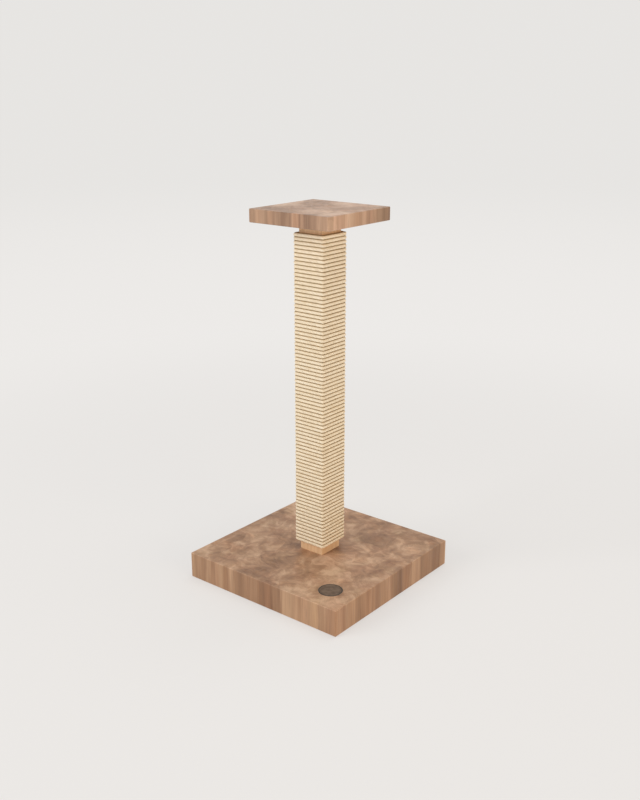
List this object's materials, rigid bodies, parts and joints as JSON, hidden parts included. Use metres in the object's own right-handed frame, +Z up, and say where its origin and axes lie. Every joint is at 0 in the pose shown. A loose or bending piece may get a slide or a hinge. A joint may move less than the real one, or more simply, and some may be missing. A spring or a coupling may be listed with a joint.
{
  "type": "cat scratching post",
  "caption": "Square hardwood post wound with sisal rope on a heavy square wooden block, with a small square wooden plate on top, for a cat to scratch.",
  "frame": {"origin": "on the floor, under the middle of the square block", "axes": "+Z up along the post, +X and -Y the two sides that meet at the corner with the inlaid disc, +Y the back, where the rope climbs from turn to turn"},
  "size_m": [0.4, 0.4, 0.798],
  "materials": {
    "block_wood": "oiled end-grain hardwood, matt",
    "plate_wood": "oiled end-grain hardwood, matt",
    "post_wood": "sanded pale hardwood, matt",
    "dowel_wood": "plain beech",
    "sisal": "three-strand sisal rope",
    "disc_metal": "dark bronze, satin",
    "pad_rubber": "matt",
    "zinc_steel": "zinc plated",
    "insert_brass": "plain"
  },
  "bodies": {
    "root": {"base_block": "block_wood", "base_disc": "disc_metal", "core_post": "post_wood", "rope_length_1": "sisal", "rope_length_2": "sisal", "rope_length_3": "sisal", "rope_length_4": "sisal", "top_plate": "plate_wood", "base_bolt": "zinc_steel", "base_washer": "zinc_steel", "post_insert": "insert_brass", "base_dowel_1": "dowel_wood", "base_dowel_2": "dowel_wood", "plate_dowel_1": "dowel_wood", "plate_dowel_2": "dowel_wood", "foot_pad_front_left": "pad_rubber", "foot_pad_front_right": "pad_rubber", "foot_pad_back_left": "pad_rubber", "foot_pad_back_right": "pad_rubber"}
  },
  "joints": []
}
